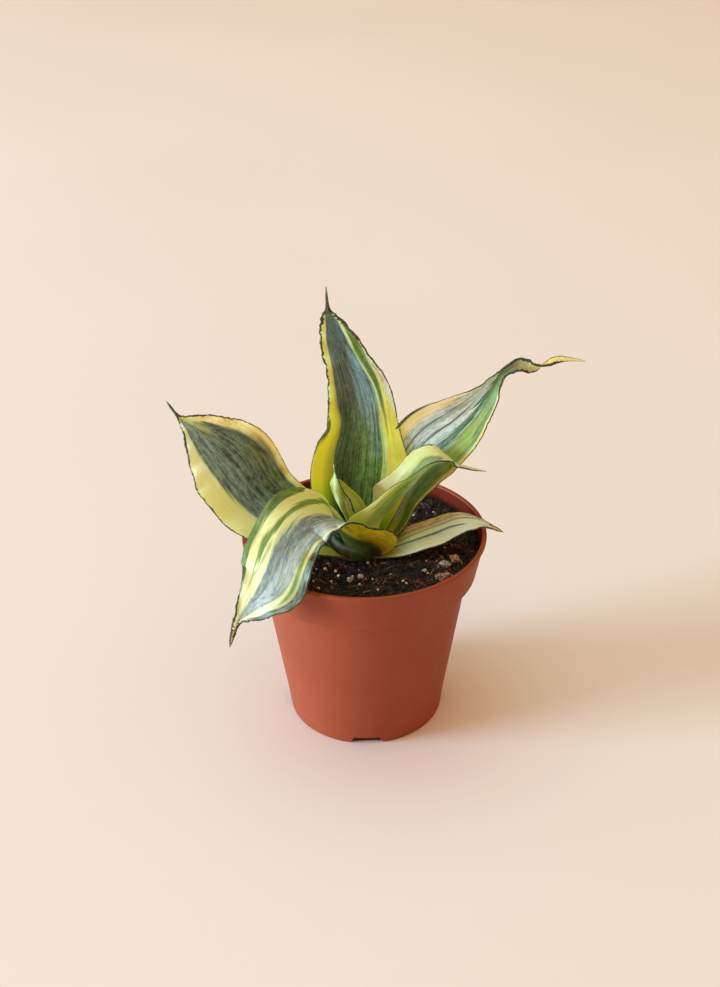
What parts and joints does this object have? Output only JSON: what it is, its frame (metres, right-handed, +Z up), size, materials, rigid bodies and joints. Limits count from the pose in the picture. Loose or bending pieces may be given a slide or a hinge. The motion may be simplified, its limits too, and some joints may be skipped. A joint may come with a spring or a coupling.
{
  "type": "potted snake plant",
  "caption": "Small potted snake plant: a short rosette of pointed, twisted leaves with yellow margins, in soil in a round tapered plastic nursery pot with a collar.",
  "frame": {"origin": "middle of the pot's foot, on the surface that the pot stands on", "axes": "+Z up along the pot's axis; +X to the picture's right, where the long leaf reaches; +Y away from its camera"},
  "size_m": [0.2012, 0.1228, 0.2205],
  "materials": {
    "pot_plastic": "matte terracotta-coloured moulded plastic",
    "rootstock": "fibrous pale brown stem",
    "soil": "damp dark potting mix with fibres",
    "leaf_front_arching": "satin fleshy leaf with yellow margins and grey-green middle",
    "leaf_right_inner": "satin fleshy leaf with yellow margins and grey-green middle",
    "leaf_new_spear": "satin fleshy leaf with yellow margins and grey-green middle",
    "leaf_right_long": "satin fleshy leaf with yellow margins and grey-green middle",
    "leaf_back_tall": "satin fleshy leaf with yellow margins and grey-green middle",
    "leaf_right_low": "satin fleshy leaf with yellow margins and grey-green middle",
    "leaf_left": "satin fleshy leaf with yellow margins and grey-green middle",
    "bark_1": "rough dry bark",
    "bark_2": "rough dry bark",
    "bark_3": "rough dry bark",
    "perlite": "porous off-white mineral"
  },
  "bodies": {
    "root": {"pot": "pot_plastic", "rootstock": "rootstock", "soil": "soil", "leaf_front_arching": "leaf_front_arching", "leaf_right_inner": "leaf_right_inner", "leaf_new_spear": "leaf_new_spear", "leaf_right_long": "leaf_right_long", "leaf_back_tall": "leaf_back_tall", "leaf_right_low": "leaf_right_low", "leaf_left": "leaf_left", "bark_chip_1": "bark_1", "bark_chip_2": "bark_2", "bark_chip_3": "bark_3", "perlite_grain_1": "perlite", "perlite_grain_2": "perlite", "perlite_grain_3": "perlite"}
  },
  "joints": []
}
